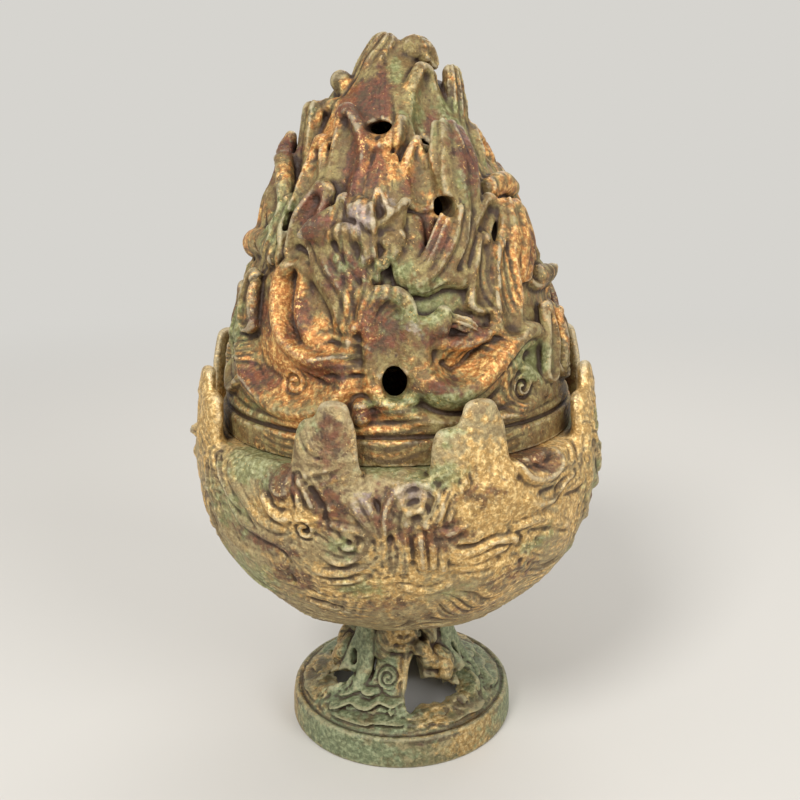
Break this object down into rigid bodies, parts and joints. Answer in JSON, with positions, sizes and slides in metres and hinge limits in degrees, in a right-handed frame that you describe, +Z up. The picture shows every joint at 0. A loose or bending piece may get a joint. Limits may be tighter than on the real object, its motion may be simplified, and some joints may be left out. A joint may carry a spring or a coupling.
{
  "type": "incense burner",
  "caption": "Bronze hill-shaped incense burner: footed round bowl with a crown of peaks, and a pierced mountain lid that lifts off.",
  "frame": {"origin": "centre of the foot's underside, on the surface that the burner stands on", "axes": "+Z up along the burner's axis, the front with the round smoke vent faces -Y, +X to the right seen from the front"},
  "size_m": [0.1541, 0.1538, 0.258],
  "materials": {
    "foot_bronze": "cast bronze with a green patina",
    "bowl_bronze": "cast bronze with gilt remains and brown patina",
    "lid_bronze": "cast bronze with red-brown patina and gilt remains",
    "rivet_bronze": "dark worn bronze"
  },
  "bodies": {
    "bowl_and_foot": {"openwork_foot": "foot_bronze", "burner_bowl": "bowl_bronze", "joining_rivet": "rivet_bronze", "rivet_washer": "rivet_bronze"},
    "lid": {"mountain_lid": "lid_bronze"}
  },
  "joints": [
    {"name": "lid_lift", "type": "slide", "parent": "bowl_and_foot", "child": "lid", "axis": [0, 0, 1], "range_m": [0, 0.08]}
  ]
}
